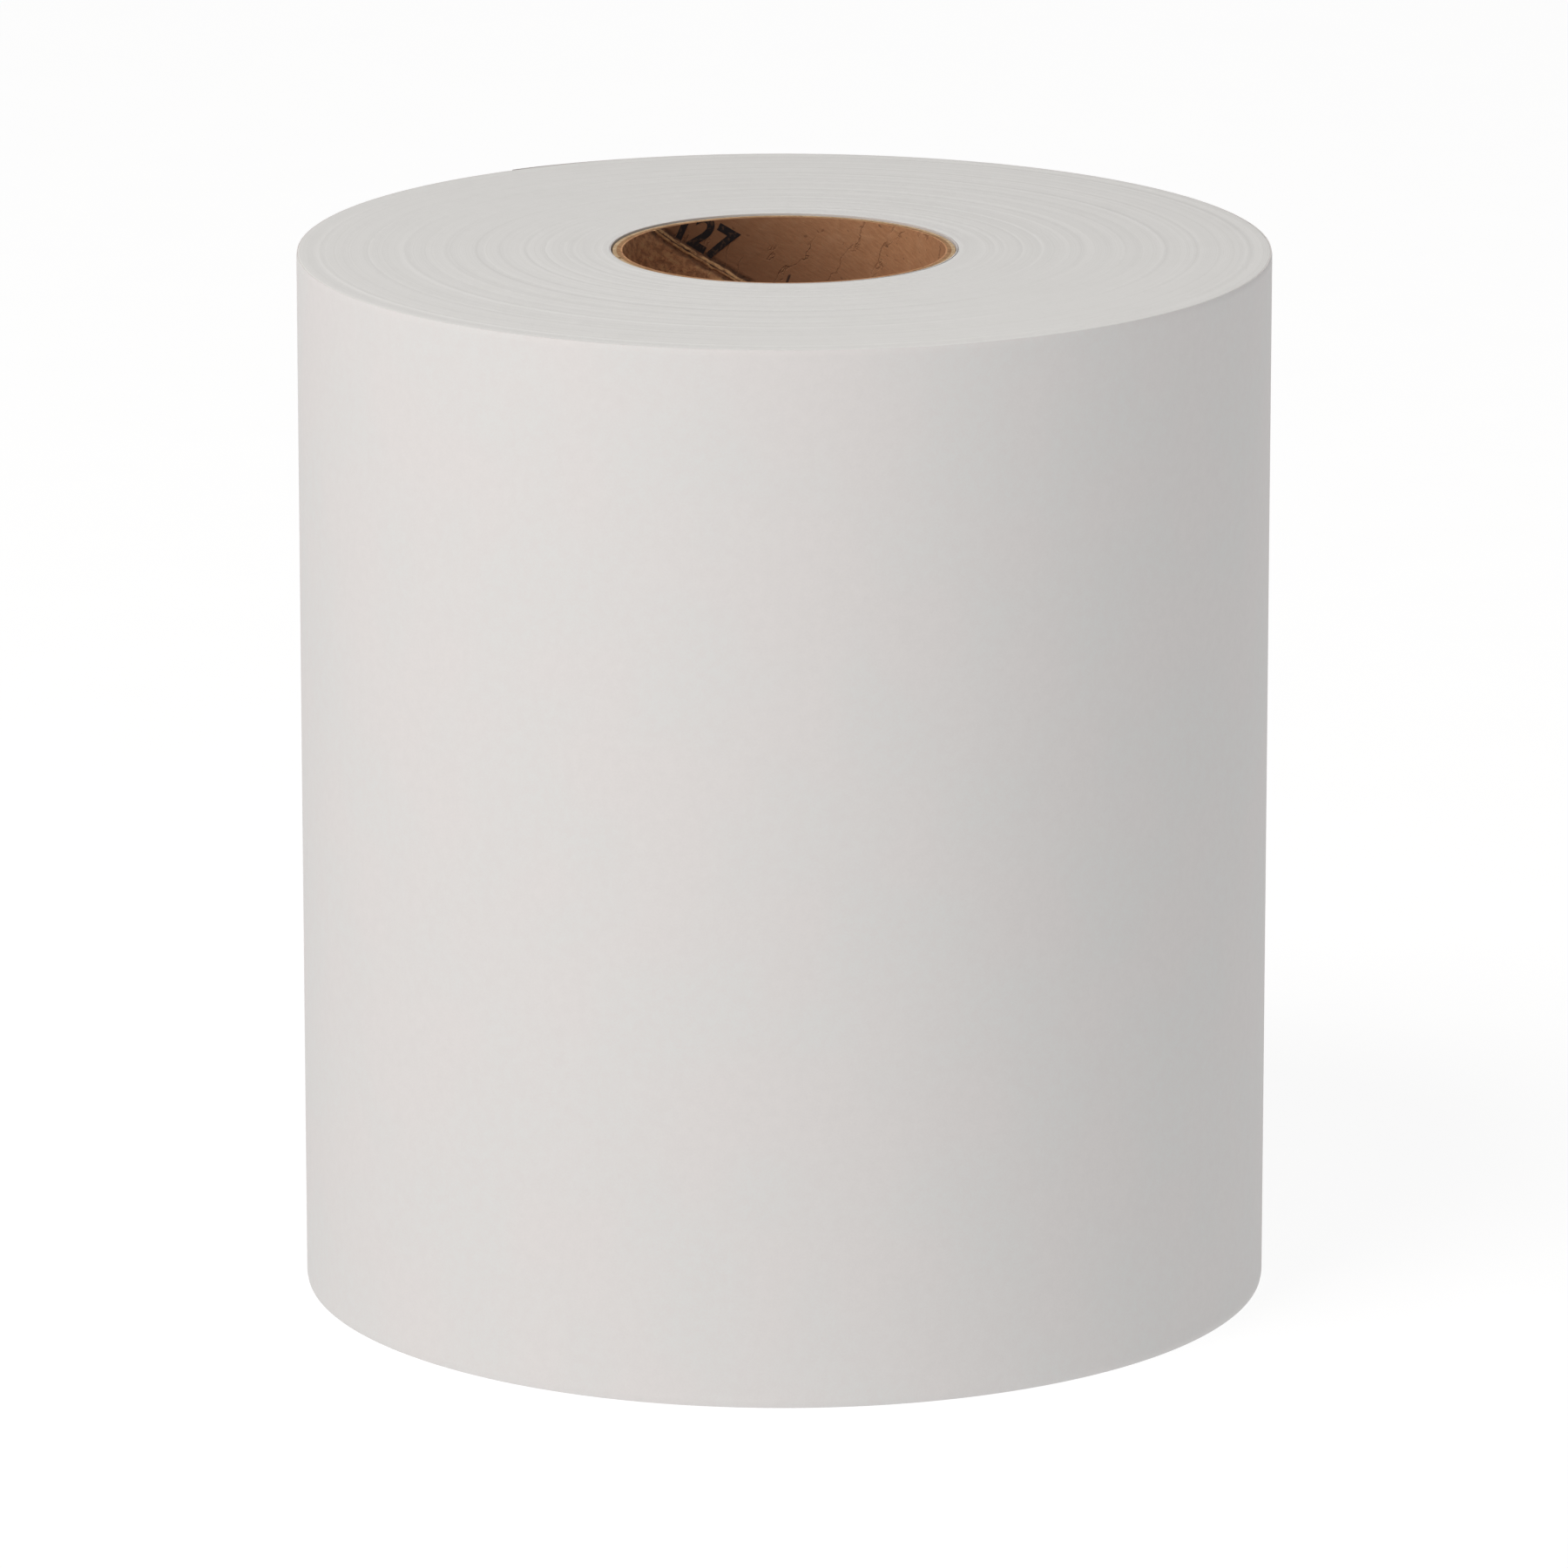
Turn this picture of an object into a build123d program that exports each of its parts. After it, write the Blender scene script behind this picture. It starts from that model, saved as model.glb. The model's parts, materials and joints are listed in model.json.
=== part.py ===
from build123d import *
from math import ceil, cos, degrees, pi, radians, sin, sqrt
import os

# A short, thick roll of plain white backdrop paper, standing on one end.
#
# One long web of paper is wound on a spiral-wound board core. The core is five plies of board, each a
# strip laid on a right-hand helix with its edges butted, so each ply has one seam. The start of the
# web is taped to the core, and its last stretch, the tail, lies on the roll under one strip of paper
# tape. Peeling the tape frees the tail, which then lifts off the roll and straightens.
#
# Frame: the roll's axis is Z, the face it stands on is at Z = 0, and the tail is on the +Y side.
# All sizes are in millimetres and all angles in degrees, counted from +X about +Z.

# ---- The roll ----
roll_width = 250.0  # the paper's width, which is the standing roll's height
roll_diameter = 230.0  # twice the outer radius at the tail's last edge, where the roll is thickest
paper_thickness = 0.25

# ---- The core ----
core_bore = 76.2
core_recess = 0.4  # how far each end of the core lies inside the paper's face
liner_thickness = 0.4
body_ply_thickness = 0.5
body_ply_count = 3
cover_thickness = 0.4
strip_width = 127.0  # the board strips that the plies are wound from
seam_gap = 0.6  # between a strip's butted edges
liner_seam_angle = 143.0  # where the liner's seam runs out of the core's upper end
seam_stagger = 137.0  # turn from one ply's seam to the next one's

# ---- The start of the web ----
start_tape_width = 50.0
start_tape_thickness = 0.15
start_angle = 250.0  # where the web's first edge lies on the core

# ---- The outside lap and the tail ----
tail_length = 150.0  # the part of the web that is free to lift
tail_panel_count = 3
tail_end_angle = 125.0  # where the web's last edge lies
lap_clearance = 0.3  # air under the outside lap where it is loose, and under the tail
hinge_gap = 0.1  # between the tail's panels, where the paper bends
turn_clearance = 0.05  # air between turns that are wound tight, and under tape that is pressed down

# ---- The strip of tape that holds the tail ----
tab_width = 30.0  # along the roll's axis
tab_on_tail = 22.0  # length stuck to the tail
tab_on_roll = 22.0  # length stuck to the roll, which peels
tab_thickness = 0.15

# ---- Worked out from the above ----
ARC_STEP = 30.0  # a spiral is drawn as arcs no longer than this
roll_radius = roll_diameter / 2
core_length = roll_width - 2 * core_recess
core_top = roll_width - core_recess
core_bore_radius = core_bore / 2

tail_arc = degrees(tail_length / roll_radius)
panel_arc = tail_arc / tail_panel_count
tail_root_angle = tail_end_angle - tail_arc
lap_rise = paper_thickness + lap_clearance  # how much further out one lap lies than the one under it
lap_start_radius = roll_radius - paper_thickness - lap_rise * (360 + tail_arc) / 360
pack_radius = lap_start_radius - turn_clearance


def arc_degrees(length, radius):
    """The angle that a length takes along an arc of that radius."""
    return degrees(length / radius)


def polar(radius, angle):
    """The point at that radius and angle."""
    return (radius * cos(radians(angle)), radius * sin(radians(angle)))


def lap_radius(turned):
    """The inner radius of the outside lap, after it has turned that many degrees."""
    return lap_start_radius + lap_rise * turned / 360


def spiral_arcs(radius_at, start, sweep):
    """Arcs end to end along a slow spiral, from angle start, turning through sweep."""
    count = ceil(sweep / ARC_STEP)
    step = sweep / count
    for number in range(count):
        turned = [step * (number + part) for part in (0, 0.5, 1)]
        ThreePointArc(*(polar(radius_at(turn), start + turn) for turn in turned))


def wound_strip(radius_at, start, sweep, thickness):
    """The end view of a strip wound on a slow spiral, whose inner radius is radius_at(turned)."""
    with BuildSketch() as strip:
        with BuildLine():
            spiral_arcs(radius_at, start, sweep)
            Line(
                polar(radius_at(sweep), start + sweep),
                polar(radius_at(sweep) + thickness, start + sweep),
            )
            spiral_arcs(lambda turned: radius_at(turned) + thickness, start, sweep)
            Line(
                polar(radius_at(0), start),
                polar(radius_at(0) + thickness, start),
            )
        make_face()
    return strip.sketch


# ---- The core's plies, from the bore outwards ----
plies = [("core_liner_ply", liner_thickness)]
for number in range(body_ply_count):
    plies.append((f"core_body_ply_{number + 1}", body_ply_thickness))
plies.append(("core_cover_ply", cover_thickness))

# Every ply advances at the same rate along the core, set by the strip's width on the liner.
liner_circumference = pi * (core_bore + liner_thickness)
strip_pitch = strip_width + seam_gap
seam_pitch = liner_circumference * strip_pitch / sqrt(liner_circumference**2 - strip_pitch**2)
seam_overrun = 2 * seam_gap  # how far the cut for a seam runs past both ends of the core

finished = []
ply_radius = core_bore_radius
for number, (name, thickness) in enumerate(plies):
    seam_height = core_top - seam_pitch * (liner_seam_angle + number * seam_stagger) / 360
    turns_down = ceil((seam_height - core_recess + seam_overrun) / seam_pitch)
    seam_start = seam_height - turns_down * seam_pitch
    seam_rise = core_top + seam_overrun - seam_start
    with BuildPart() as ply:
        with BuildSketch(Plane.XY.offset(core_recess)):
            Circle(ply_radius + thickness)
            Circle(ply_radius, mode=Mode.SUBTRACT)
        extrude(amount=core_length)
        with BuildLine() as seam:
            Helix(
                pitch=seam_pitch,
                height=seam_rise,
                radius=ply_radius + thickness / 2,
                center=(0, 0, seam_start),
            )
        with BuildSketch(Plane(seam.line @ 0, x_dir=(1, 0, 0), z_dir=seam.line % 0)):
            Rectangle(2 * thickness, seam_gap)
        sweep(path=seam.line, is_frenet=True, mode=Mode.SUBTRACT)
    ply.part.label = name
    finished.append(ply.part)
    ply_radius += thickness
core_radius = ply_radius

# ---- The start of the web, taped to the core ----
first_turn_radius = core_radius + start_tape_thickness + turn_clearance
first_turn_rise = paper_thickness + turn_clearance
start_tape_arc = arc_degrees(start_tape_width, core_radius)

with BuildPart() as start_tape:
    with BuildSketch(Plane.XY.offset(core_recess)):
        add(
            wound_strip(
                lambda turned: core_radius,
                start_angle - start_tape_arc / 2,
                start_tape_arc,
                start_tape_thickness,
            )
        )
    extrude(amount=core_length)
start_tape.part.label = "start_tape"
finished.append(start_tape.part)

with BuildPart() as first_turn:
    with BuildSketch():
        add(
            wound_strip(
                lambda turned: first_turn_radius + first_turn_rise * turned / 360,
                start_angle,
                360 - arc_degrees(hinge_gap, first_turn_radius),
                paper_thickness,
            )
        )
    extrude(amount=roll_width)
first_turn.part.label = "first_turn"
finished.append(first_turn.part)

# ---- The tight turns between the first and the last ----
pack_bore_radius = first_turn_radius + first_turn_rise + paper_thickness
with BuildPart() as wound_paper:
    with BuildSketch():
        Circle(pack_radius)
        Circle(pack_bore_radius, mode=Mode.SUBTRACT)
    extrude(amount=roll_width)
wound_paper.part.label = "wound_paper"
finished.append(wound_paper.part)

# ---- The last full turn, which the tail grows out of ----
with BuildPart() as last_turn:
    with BuildSketch():
        add(wound_strip(lap_radius, tail_root_angle, 360, paper_thickness))
    extrude(amount=roll_width)
last_turn.part.label = "last_turn"
finished.append(last_turn.part)

# ---- The tail, in panels that bend at the lines between them ----
panel_gap = arc_degrees(hinge_gap, roll_radius)
for number in range(tail_panel_count):
    panel_turn = 360 + number * panel_arc + panel_gap / 2
    if number == tail_panel_count - 1:
        panel_sweep = panel_arc - panel_gap / 2
    else:
        panel_sweep = panel_arc - panel_gap
    with BuildPart() as tail_panel:
        with BuildSketch():
            add(
                wound_strip(
                    lambda turned: lap_radius(panel_turn + turned),
                    tail_root_angle + panel_turn,
                    panel_sweep,
                    paper_thickness,
                )
            )
        extrude(amount=roll_width)
    tail_panel.part.label = f"tail_panel_{number + 1}"
    finished.append(tail_panel.part)

# ---- The tape over the tail's edge: one half on the tail, one half on the roll ----
tail_end_turn = 360 + tail_arc
tab_tail_arc = arc_degrees(tab_on_tail, roll_radius)
tab_roll_arc = arc_degrees(tab_on_roll, roll_radius)
tab_edge_gap = 2 * panel_gap  # keeps the peeling half off the paper's edge
tab_bottom = (roll_width - tab_width) / 2
tape_seat = paper_thickness + turn_clearance  # from the paper's inner face to the tape on it

with BuildPart() as tab_tail_half:
    with BuildSketch(Plane.XY.offset(tab_bottom)):
        add(
            wound_strip(
                lambda turned: lap_radius(tail_end_turn - tab_tail_arc + turned) + tape_seat,
                tail_end_angle - tab_tail_arc,
                tab_tail_arc,
                tab_thickness,
            )
        )
    extrude(amount=tab_width)
tab_tail_half.part.label = "tail_tape_on_tail"
finished.append(tab_tail_half.part)

# The half on the roll lies on the lap under the tail, one turn further in.
with BuildPart() as tab_roll_half:
    with BuildSketch(Plane.XY.offset(tab_bottom)):
        add(
            wound_strip(
                lambda turned: lap_radius(tail_end_turn + tab_edge_gap + turned),
                tail_end_angle + tab_edge_gap,
                tab_roll_arc - tab_edge_gap,
                tab_thickness,
            )
        )
    extrude(amount=tab_width)
tab_roll_half.part.label = "tail_tape_on_roll"
finished.append(tab_roll_half.part)

# ---- Write each piece as a file of its own ----
os.makedirs("parts", exist_ok=True)
for piece in finished:
    export_step(piece, f"parts/{piece.label}.step")

# Where the paper bends, for the joints: each line is parallel to Z at the paper's outer face.
for number in range(tail_panel_count):
    turned = 360 + number * panel_arc
    hinge = polar(lap_radius(turned) + paper_thickness, tail_root_angle + turned)
    print(f"hinge {number + 1}: x {hinge[0]:.4f} y {hinge[1]:.4f}")
tape_hinge = polar(lap_radius(tail_end_turn) + paper_thickness, tail_end_angle)
print(f"tape hinge: x {tape_hinge[0]:.4f} y {tape_hinge[1]:.4f}")
print(f"core radius {core_radius:.3f}, seam pitch {seam_pitch:.2f}")
print(f"pack from {pack_bore_radius:.3f} to {pack_radius:.3f}, tail root at {tail_root_angle:.2f}")
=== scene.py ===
"""The looks of a short, thick roll of white backdrop paper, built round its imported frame."""

import json
import logging
import math
import random
from collections.abc import Callable, Iterable
from dataclasses import dataclass
from enum import Enum

import bpy
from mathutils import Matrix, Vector


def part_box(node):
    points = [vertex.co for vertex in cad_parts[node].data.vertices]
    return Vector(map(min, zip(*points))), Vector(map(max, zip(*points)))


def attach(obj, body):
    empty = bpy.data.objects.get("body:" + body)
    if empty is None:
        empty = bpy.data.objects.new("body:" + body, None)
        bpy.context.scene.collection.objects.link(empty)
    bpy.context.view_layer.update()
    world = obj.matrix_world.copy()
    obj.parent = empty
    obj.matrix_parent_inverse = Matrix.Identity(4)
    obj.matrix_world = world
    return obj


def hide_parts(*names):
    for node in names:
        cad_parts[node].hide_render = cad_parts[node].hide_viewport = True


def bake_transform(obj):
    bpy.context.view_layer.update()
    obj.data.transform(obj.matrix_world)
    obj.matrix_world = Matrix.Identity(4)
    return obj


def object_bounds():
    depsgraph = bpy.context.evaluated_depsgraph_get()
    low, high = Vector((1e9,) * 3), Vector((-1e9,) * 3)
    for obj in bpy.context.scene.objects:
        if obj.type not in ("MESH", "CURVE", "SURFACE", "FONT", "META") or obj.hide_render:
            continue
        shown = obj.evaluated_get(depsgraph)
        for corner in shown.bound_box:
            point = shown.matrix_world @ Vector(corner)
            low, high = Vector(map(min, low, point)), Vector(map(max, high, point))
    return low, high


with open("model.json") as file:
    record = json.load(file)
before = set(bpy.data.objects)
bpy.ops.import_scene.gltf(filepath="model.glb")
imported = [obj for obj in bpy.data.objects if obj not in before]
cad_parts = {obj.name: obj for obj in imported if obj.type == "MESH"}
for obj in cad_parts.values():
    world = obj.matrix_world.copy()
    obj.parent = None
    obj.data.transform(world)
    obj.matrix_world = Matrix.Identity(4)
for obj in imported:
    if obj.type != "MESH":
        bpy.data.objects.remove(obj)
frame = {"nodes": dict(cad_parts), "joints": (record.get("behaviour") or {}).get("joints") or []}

FRAME_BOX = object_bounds()
LOG = logging.getLogger("roll")
MM = 0.001
FULL_TURN = 2 * math.pi
SMOOTH_ANGLE = math.radians(32)
MERGE_DISTANCE = 0.002 * MM

Colour = tuple[float, float, float]
Triple = tuple[float, float, float]


# ---------------------------------------------------------------- shader maths


class Field:
    """A socket whose value varies over a surface, and that takes part in arithmetic."""

    def __init__(self, graph: "Graph", socket: bpy.types.NodeSocket) -> None:
        """Keeps the graph that the socket belongs to, so that sums can add nodes to it."""
        self.graph = graph
        self.socket = socket

    def __add__(self, other: "Field | float") -> "Field":
        """This plus the other."""
        return self.graph.math("ADD", self, other)

    def __radd__(self, other: float) -> "Field":
        """The other plus this."""
        return self.graph.math("ADD", other, self)

    def __sub__(self, other: "Field | float") -> "Field":
        """This less the other."""
        return self.graph.math("SUBTRACT", self, other)

    def __rsub__(self, other: float) -> "Field":
        """The other less this."""
        return self.graph.math("SUBTRACT", other, self)

    def __mul__(self, other: "Field | float") -> "Field":
        """This times the other."""
        return self.graph.math("MULTIPLY", self, other)

    def __rmul__(self, other: float) -> "Field":
        """The other times this."""
        return self.graph.math("MULTIPLY", other, self)

    def __pow__(self, power: float) -> "Field":
        """This raised to a power."""
        return self.graph.math("POWER", self, power)


class Graph:
    """The nodes of one material or world, built from a few short calls."""

    def __init__(self, owner: "bpy.types.Material | bpy.types.World") -> None:
        """Starts the owner's node tree afresh.

        Args:
            owner: the material or world that the nodes belong to.
        """
        owner.use_nodes = True
        self.owner = owner
        self.tree = owner.node_tree
        self.tree.nodes.clear()

    @classmethod
    def of_finish(cls, name: str) -> "Graph":
        """The empty graph of a new material of that name."""
        return cls(bpy.data.materials.new(name))

    def node(self, kind: str, settings: dict | None = None, inputs: dict | None = None) -> bpy.types.Node:
        """Adds a node.

        Args:
            kind: the node's type.
            settings: its properties, such as a Math node's operation, set first.
            inputs: values or links, by the socket's name or number.

        Returns:
            The new node.
        """
        made = self.tree.nodes.new(kind)
        for key, value in (settings or {}).items():
            setattr(made, key, value)
        for key, value in (inputs or {}).items():
            self._feed(made.inputs[key], value)
        return made

    def _feed(self, socket: bpy.types.NodeSocket, value: object) -> None:
        """Links a socket to where its value comes from, or sets the value on the socket.

        Args:
            socket: the input.
            value: a field, another socket, a colour or a number.
        """
        if isinstance(value, Field):
            self.tree.links.new(value.socket, socket)
        elif isinstance(value, bpy.types.NodeSocket):
            self.tree.links.new(value, socket)
        elif isinstance(value, tuple) and socket.type == "RGBA":
            socket.default_value = (*value, 1.0)
        else:
            socket.default_value = value

    def math(self, operation: str, *values: "Field | float") -> Field:
        """One Math node on these values."""
        inputs = dict(enumerate(values))
        return Field(self, self.node("ShaderNodeMath", {"operation": operation}, inputs).outputs[0])

    def place(self) -> bpy.types.NodeSocket:
        """The point on the piece, in metres."""
        return self.node("ShaderNodeTexCoord").outputs["Object"]

    def sheet_place(self, length: float, width: float) -> bpy.types.NodeSocket:
        """The point on a flat sheet before it was wound, in metres, from the sheet's own map."""
        flat = self.node("ShaderNodeTexCoord").outputs["UV"]
        return self.scaled(flat, (length, width, 1.0))

    def scaled(self, vector: bpy.types.NodeSocket, scale: Triple) -> bpy.types.NodeSocket:
        """The vector with each of its parts scaled."""
        return self.node("ShaderNodeMapping", None, {"Vector": vector, "Scale": scale}).outputs[0]

    def parts(self, vector: bpy.types.NodeSocket) -> tuple[Field, Field, Field]:
        """The vector's three parts."""
        split = self.node("ShaderNodeSeparateXYZ", None, {0: vector})
        return Field(self, split.outputs[0]), Field(self, split.outputs[1]), Field(self, split.outputs[2])

    def noise(self, vector: bpy.types.NodeSocket, feature: float, detail: float = 2.0,
              roughness: float = 0.5) -> Field:
        """Soft noise from 0 to 1, whose largest blotches are one feature across, in metres."""
        inputs = {"Vector": vector, "Scale": 1 / feature, "Detail": detail, "Roughness": roughness}
        return Field(self, self.node("ShaderNodeTexNoise", None, inputs).outputs[0])

    def line_noise(self, along: Field, feature: float, detail: float, roughness: float) -> Field:
        """Noise that varies along one measure only, such as the radius."""
        inputs = {"W": along, "Scale": 1 / feature, "Detail": detail, "Roughness": roughness}
        return Field(self, self.node("ShaderNodeTexNoise", {"noise_dimensions": "1D"}, inputs).outputs[0])

    def rise(self, value: Field, low: float, high: float) -> Field:
        """A smooth step, which falls where low is the larger.

        Args:
            value: what the step is made on.
            low: where the step starts, at 0.
            high: where it ends, at 1.

        Returns:
            The step.
        """
        inputs = {"Value": value, "From Min": low, "From Max": high}
        made = self.node("ShaderNodeMapRange", {"interpolation_type": "SMOOTHSTEP"}, inputs)
        return Field(self, made.outputs[0])

    def mix(self, share: Field, first: "Colour | bpy.types.NodeSocket",
            second: "Colour | bpy.types.NodeSocket") -> bpy.types.NodeSocket:
        """The first colour where share is 0 and the second where it is 1."""
        made = self.node("ShaderNodeMix", {"data_type": "RGBA"}, {0: share, 6: first, 7: second})
        return made.outputs[2]

    def paint(self, ground: bpy.types.NodeSocket,
              coats: Iterable[tuple[Field, Colour]]) -> bpy.types.NodeSocket:
        """Lays colours over one another.

        Args:
            ground: the colour under them all.
            coats: how much each one covers, and its colour, from the first one laid to the last.

        Returns:
            The colour that shows.
        """
        for share, colour in coats:
            ground = self.mix(share, ground, colour)
        return ground

    def bump(self, height: Field) -> bpy.types.NodeSocket:
        """The surface's normal, tilted by a height in millimetres."""
        inputs = {"Height": height, "Distance": MM, "Strength": 1.0}
        return self.node("ShaderNodeBump", None, inputs).outputs[0]

    def surface(self, inputs: dict) -> bpy.types.Material:
        """Ends the graph in a Principled shader with these inputs.

        Args:
            inputs: values or links, by the shader's own socket names.

        Returns:
            The finished material.
        """
        shader = self.node("ShaderNodeBsdfPrincipled", None, inputs)
        self.node("ShaderNodeOutputMaterial", None, {"Surface": shader.outputs[0]})
        return self.owner


# ---------------------------------------------------------------- finishes, with heights in millimetres


@dataclass(frozen=True)
class PaperFinish:
    """Uncoated white paper with a fine felt grain, a cloudy formation and faint winding bands."""

    name: str = "white_paper"
    warm: Colour = (0.757, 0.732, 0.721)
    cool: Colour = (0.738, 0.738, 0.726)
    dim_share: float = 0.965
    cloud_size: float = 26 * MM
    formation_size: float = 2.4 * MM
    formation_height: float = 0.014
    grain_size: float = 0.45 * MM
    grain_height: float = 0.012
    band_size: float = 22 * MM
    band_stretch: float = 0.12
    band_height: float = 0.16
    roughness: float = 0.66
    roughness_spread: float = 0.1
    specular: float = 0.35

    def material(self) -> bpy.types.Material:
        """Builds the material.

        Returns:
            The finished material.
        """
        graph = Graph.of_finish(self.name)
        place = graph.place()
        cloud = graph.noise(place, self.cloud_size, detail=1.0)
        formation = graph.noise(place, self.formation_size, detail=3.0, roughness=0.6)
        grain = graph.noise(place, self.grain_size, detail=2.0, roughness=0.6)
        stretched = graph.scaled(place, (1.0, 1.0, self.band_stretch))
        band = graph.noise(stretched, self.band_size, detail=2.0, roughness=0.45)
        tone = graph.mix(graph.rise(cloud, 0.35, 0.65), self.warm, self.cool)
        dimmed = tuple(part * self.dim_share for part in self.warm)
        mottle = formation * 0.5 + grain * 0.5
        height = grain * self.grain_height + formation * self.formation_height + band * self.band_height
        return graph.surface({
            "Base Color": graph.mix(graph.rise(mottle, 0.3, 0.7), dimmed, tone),
            "Roughness": self.roughness + grain * self.roughness_spread,
            "Normal": graph.bump(height),
            "Specular IOR Level": self.specular,
        })


@dataclass(frozen=True)
class EndFinish:
    """The wound paper's end: the cut edges of hundreds of turns, some standing a hair proud."""

    name: str = "paper_edges"
    light: Colour = (0.800, 0.808, 0.800)
    dark: Colour = (0.725, 0.730, 0.715)
    turn_size: float = 0.8 * MM
    turn_shade: float = 0.28
    turn_height: float = 0.014
    fine_size: float = 0.30 * MM
    fine_shade: float = 0.22
    fine_height: float = 0.012
    dust_size: float = 0.8 * MM
    dust_shade: float = 0.12
    dust_height: float = 0.010
    cloud_size: float = 18 * MM
    cloud_shade: float = 0.12
    wander: float = 0.25 * MM
    wander_size: float = 30 * MM
    roughness: float = 0.8
    roughness_spread: float = 0.08
    specular: float = 0.25

    def material(self) -> bpy.types.Material:
        """Builds the material.

        Returns:
            The finished material.
        """
        graph = Graph.of_finish(self.name)
        place = graph.place()
        x, y, _ = graph.parts(place)
        radius = (x * x + y * y) ** 0.5
        drift = (graph.noise(place, self.wander_size, detail=1.0) - 0.5) * (2 * self.wander)
        turns = graph.line_noise(radius + drift, self.turn_size, detail=3.0, roughness=0.62)
        fine = graph.line_noise(radius, self.fine_size, detail=1.0, roughness=0.5)
        dust = graph.noise(place, self.dust_size, detail=2.0, roughness=0.6)
        cloud = graph.noise(place, self.cloud_size, detail=2.0, roughness=0.5)
        # Painted shade: thin dark rings where the gaps between the turns lie; dust and cloud are the
        # paper's own tone.
        turn_gap_shade = graph.rise(turns, 0.44, 0.28) * self.turn_shade
        fine_gap_shade = graph.rise(fine, 0.45, 0.25) * self.fine_shade
        dusty = graph.rise(dust, 0.42, 0.3) * self.dust_shade
        cloudy = graph.rise(cloud, 0.5, 0.3) * self.cloud_shade
        height = turns * self.turn_height + fine * self.fine_height + dust * self.dust_height
        return graph.surface({
            "Base Color": graph.mix(turn_gap_shade + fine_gap_shade + dusty + cloudy, self.light, self.dark),
            "Roughness": self.roughness + fine * self.roughness_spread,
            "Normal": graph.bump(height),
            "Specular IOR Level": self.specular,
        })


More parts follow.
